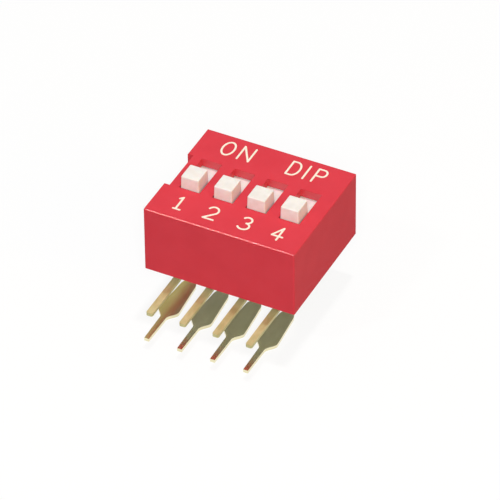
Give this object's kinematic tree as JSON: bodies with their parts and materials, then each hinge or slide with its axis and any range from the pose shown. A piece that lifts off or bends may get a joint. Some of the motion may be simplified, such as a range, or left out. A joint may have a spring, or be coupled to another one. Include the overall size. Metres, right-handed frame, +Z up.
{
  "type": "dip switch",
  "caption": "Right-angle slide switch block: moulded box with white slides in top windows and bent gold-plated leads in two rows, for setting options on a circuit board.",
  "frame": {"origin": "on the plane under the lower leads, below the middle of the part's overall box", "axes": "+Z up through the knobs, -Y along the lead tips into the board, +X along the row from the first switch to the last"},
  "size_m": [0.0116, 0.0132, 0.0097],
  "materials": {
    "cover_plastic": "satin moulded",
    "base_plastic": "matte moulded",
    "slider_plastic": "satin moulded",
    "contact_spring": "bright strip",
    "front_lead_metal": "gold plated",
    "rear_lead_metal": "bright gold plated"
  },
  "bodies": {
    "housing": {"cover": "cover_plastic", "base": "base_plastic", "front_terminal_1": "front_lead_metal", "front_terminal_2": "front_lead_metal", "front_terminal_3": "front_lead_metal", "front_terminal_4": "front_lead_metal", "rear_terminal_1": "rear_lead_metal", "rear_terminal_2": "rear_lead_metal", "rear_terminal_3": "rear_lead_metal", "rear_terminal_4": "rear_lead_metal"},
    "slide_1": {"slider_1": "slider_plastic", "moving_contact_1": "contact_spring"},
    "slide_2": {"slider_2": "slider_plastic", "moving_contact_2": "contact_spring"},
    "slide_3": {"slider_3": "slider_plastic", "moving_contact_3": "contact_spring"},
    "slide_4": {"slider_4": "slider_plastic", "moving_contact_4": "contact_spring"}
  },
  "joints": [
    {"name": "switch_1", "type": "slide", "parent": "housing", "child": "slide_1", "axis": [0, 1, 0], "range_m": [0, 0.0019]},
    {"name": "switch_2", "type": "slide", "parent": "housing", "child": "slide_2", "axis": [0, 1, 0], "range_m": [0, 0.0019]},
    {"name": "switch_3", "type": "slide", "parent": "housing", "child": "slide_3", "axis": [0, 1, 0], "range_m": [0, 0.0019]},
    {"name": "switch_4", "type": "slide", "parent": "housing", "child": "slide_4", "axis": [0, 1, 0], "range_m": [0, 0.0019]}
  ]
}
